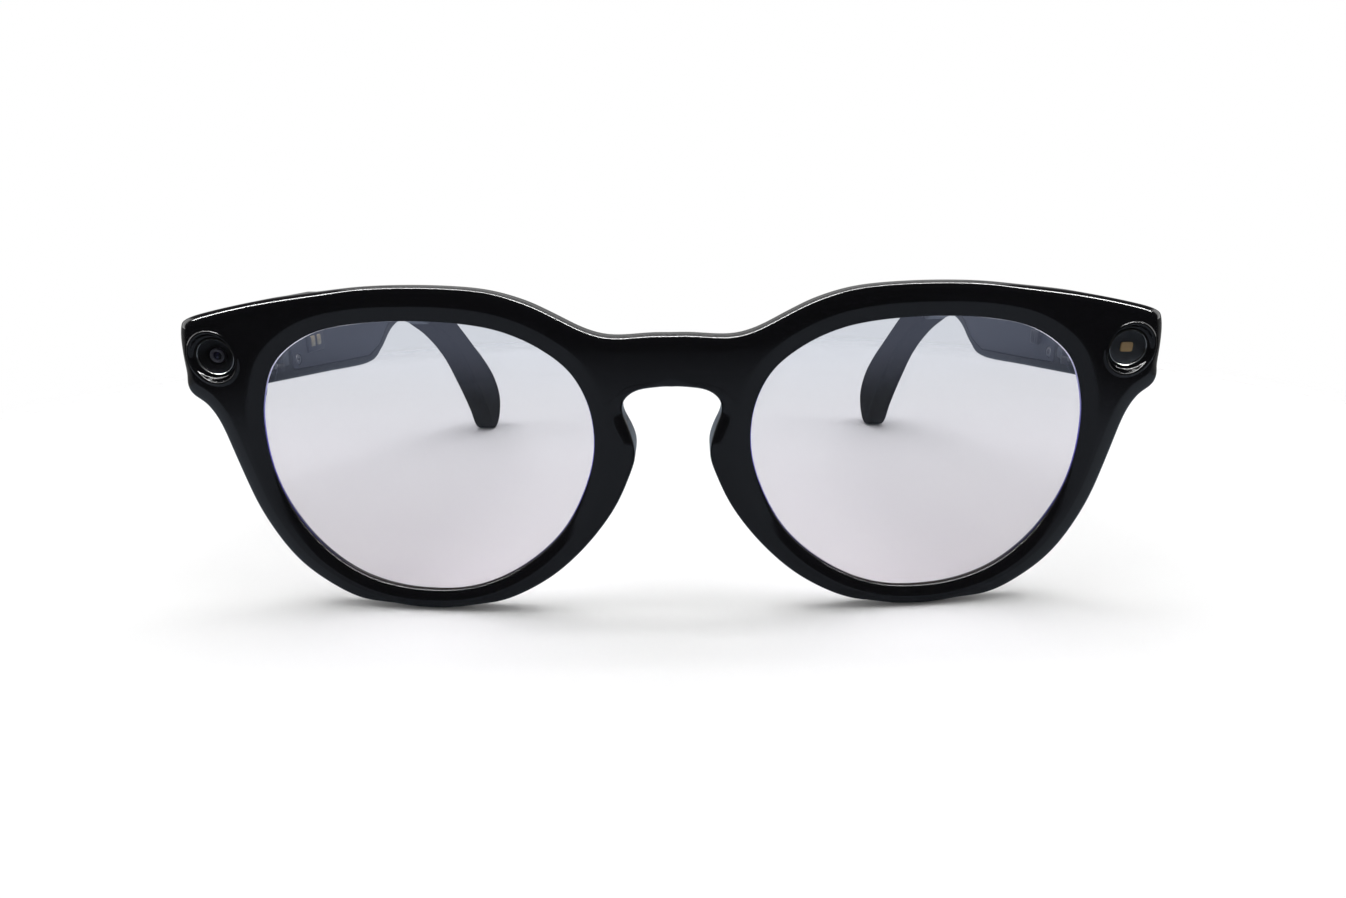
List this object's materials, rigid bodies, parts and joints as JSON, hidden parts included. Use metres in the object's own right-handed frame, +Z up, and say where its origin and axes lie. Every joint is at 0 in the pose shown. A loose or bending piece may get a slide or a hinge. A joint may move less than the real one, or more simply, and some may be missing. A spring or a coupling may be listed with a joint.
{
  "type": "smart glasses",
  "caption": "Smart glasses with a keyhole-bridge front, a round camera and indicator light in the end pieces, and folding temples that hold the electronics.",
  "frame": {"origin": "middle of the bounding box, on the surface that the rims and ear tips stand on", "axes": "+Z up, the front faces -Y, +X towards the wearer's left; temples open at rest"},
  "size_m": [0.1494, 0.1415, 0.0524],
  "materials": {
    "gloss_black": "polished",
    "matte_black": "fine satin",
    "tip_brown_black": "soft satin",
    "lens_tint": "clear, pale lavender tint",
    "dark_glass": "polished",
    "smoke_glass": "polished",
    "bezel_steel": "turned",
    "hinge_steel": "satin",
    "screw_steel": "satin",
    "lens_module": "matt",
    "circuit_green": "solder mask",
    "flex_amber": "film",
    "cell_foil": "foil",
    "shield_can": "satin",
    "speaker_black": "matt",
    "grille_steel": "black, punched",
    "contact_gold": "gold plated",
    "magnet_nickel": "plated",
    "led_lens": "diffuse",
    "button_metal": "satin"
  },
  "bodies": {
    "front": {"front_frame": "gloss_black", "lens_right": "lens_tint", "lens_left": "lens_tint", "camera_window": "dark_glass", "camera_bezel": "bezel_steel", "camera_module": "lens_module", "camera_board": "circuit_green", "led_window": "smoke_glass", "led_bezel": "bezel_steel", "led_board": "circuit_green", "front_flex": "flex_amber", "bridge_mic": "shield_can", "end_cover_right": "matte_black", "end_cover_left": "matte_black", "front_leaf_right": "hinge_steel", "front_leaf_left": "hinge_steel", "leaf_rivets": "hinge_steel", "hinge_screw_right": "screw_steel", "hinge_screw_left": "screw_steel"},
    "temple_right": {"temple_shell_right": "gloss_black", "temple_cover_right": "matte_black", "ear_tip_right": "tip_brown_black", "core_wire_right": "hinge_steel", "temple_leaf_right": "hinge_steel", "temple_flex_right": "flex_amber", "main_board": "circuit_green", "processor_can": "shield_can", "battery_right": "cell_foil", "speaker_right": "speaker_black", "speaker_grille_right": "grille_steel", "touch_sensor": "flex_amber", "charge_contacts": "contact_gold", "charge_magnets": "magnet_nickel", "mics_right": "shield_can", "cover_screws_right": "screw_steel", "capture_switch": "screw_steel", "status_led": "led_lens"},
    "capture_button": {"capture_button": "button_metal"},
    "temple_left": {"temple_shell_left": "gloss_black", "temple_cover_left": "matte_black", "ear_tip_left": "tip_brown_black", "core_wire_left": "hinge_steel", "temple_leaf_left": "hinge_steel", "temple_flex_left": "flex_amber", "audio_board": "circuit_green", "battery_left": "cell_foil", "speaker_left": "speaker_black", "speaker_grille_left": "grille_steel", "mics_left": "shield_can", "cover_screws_left": "screw_steel", "power_switch": "screw_steel"},
    "power_slider": {"power_slider": "button_metal"}
  },
  "joints": [
    {"name": "temple_right_fold", "type": "hinge", "parent": "front", "child": "temple_right", "pos_m": [-0.0636, -0.0548, 0.0415], "axis": [0, 0, -1], "range_deg": [0, 72]},
    {"name": "temple_left_fold", "type": "hinge", "parent": "front", "child": "temple_left", "pos_m": [0.0636, -0.0548, 0.0415], "axis": [0, 0, 1], "range_deg": [0, 85]},
    {"name": "capture_press", "type": "slide", "parent": "temple_right", "child": "capture_button", "axis": [0, 0, -1], "range_m": [0, 0.0004], "stiffness_N_per_m": 1500},
    {"name": "power_slide", "type": "slide", "parent": "temple_left", "child": "power_slider", "axis": [-0.0854, 0.9963, 0], "range_m": [0, 0.002]}
  ]
}
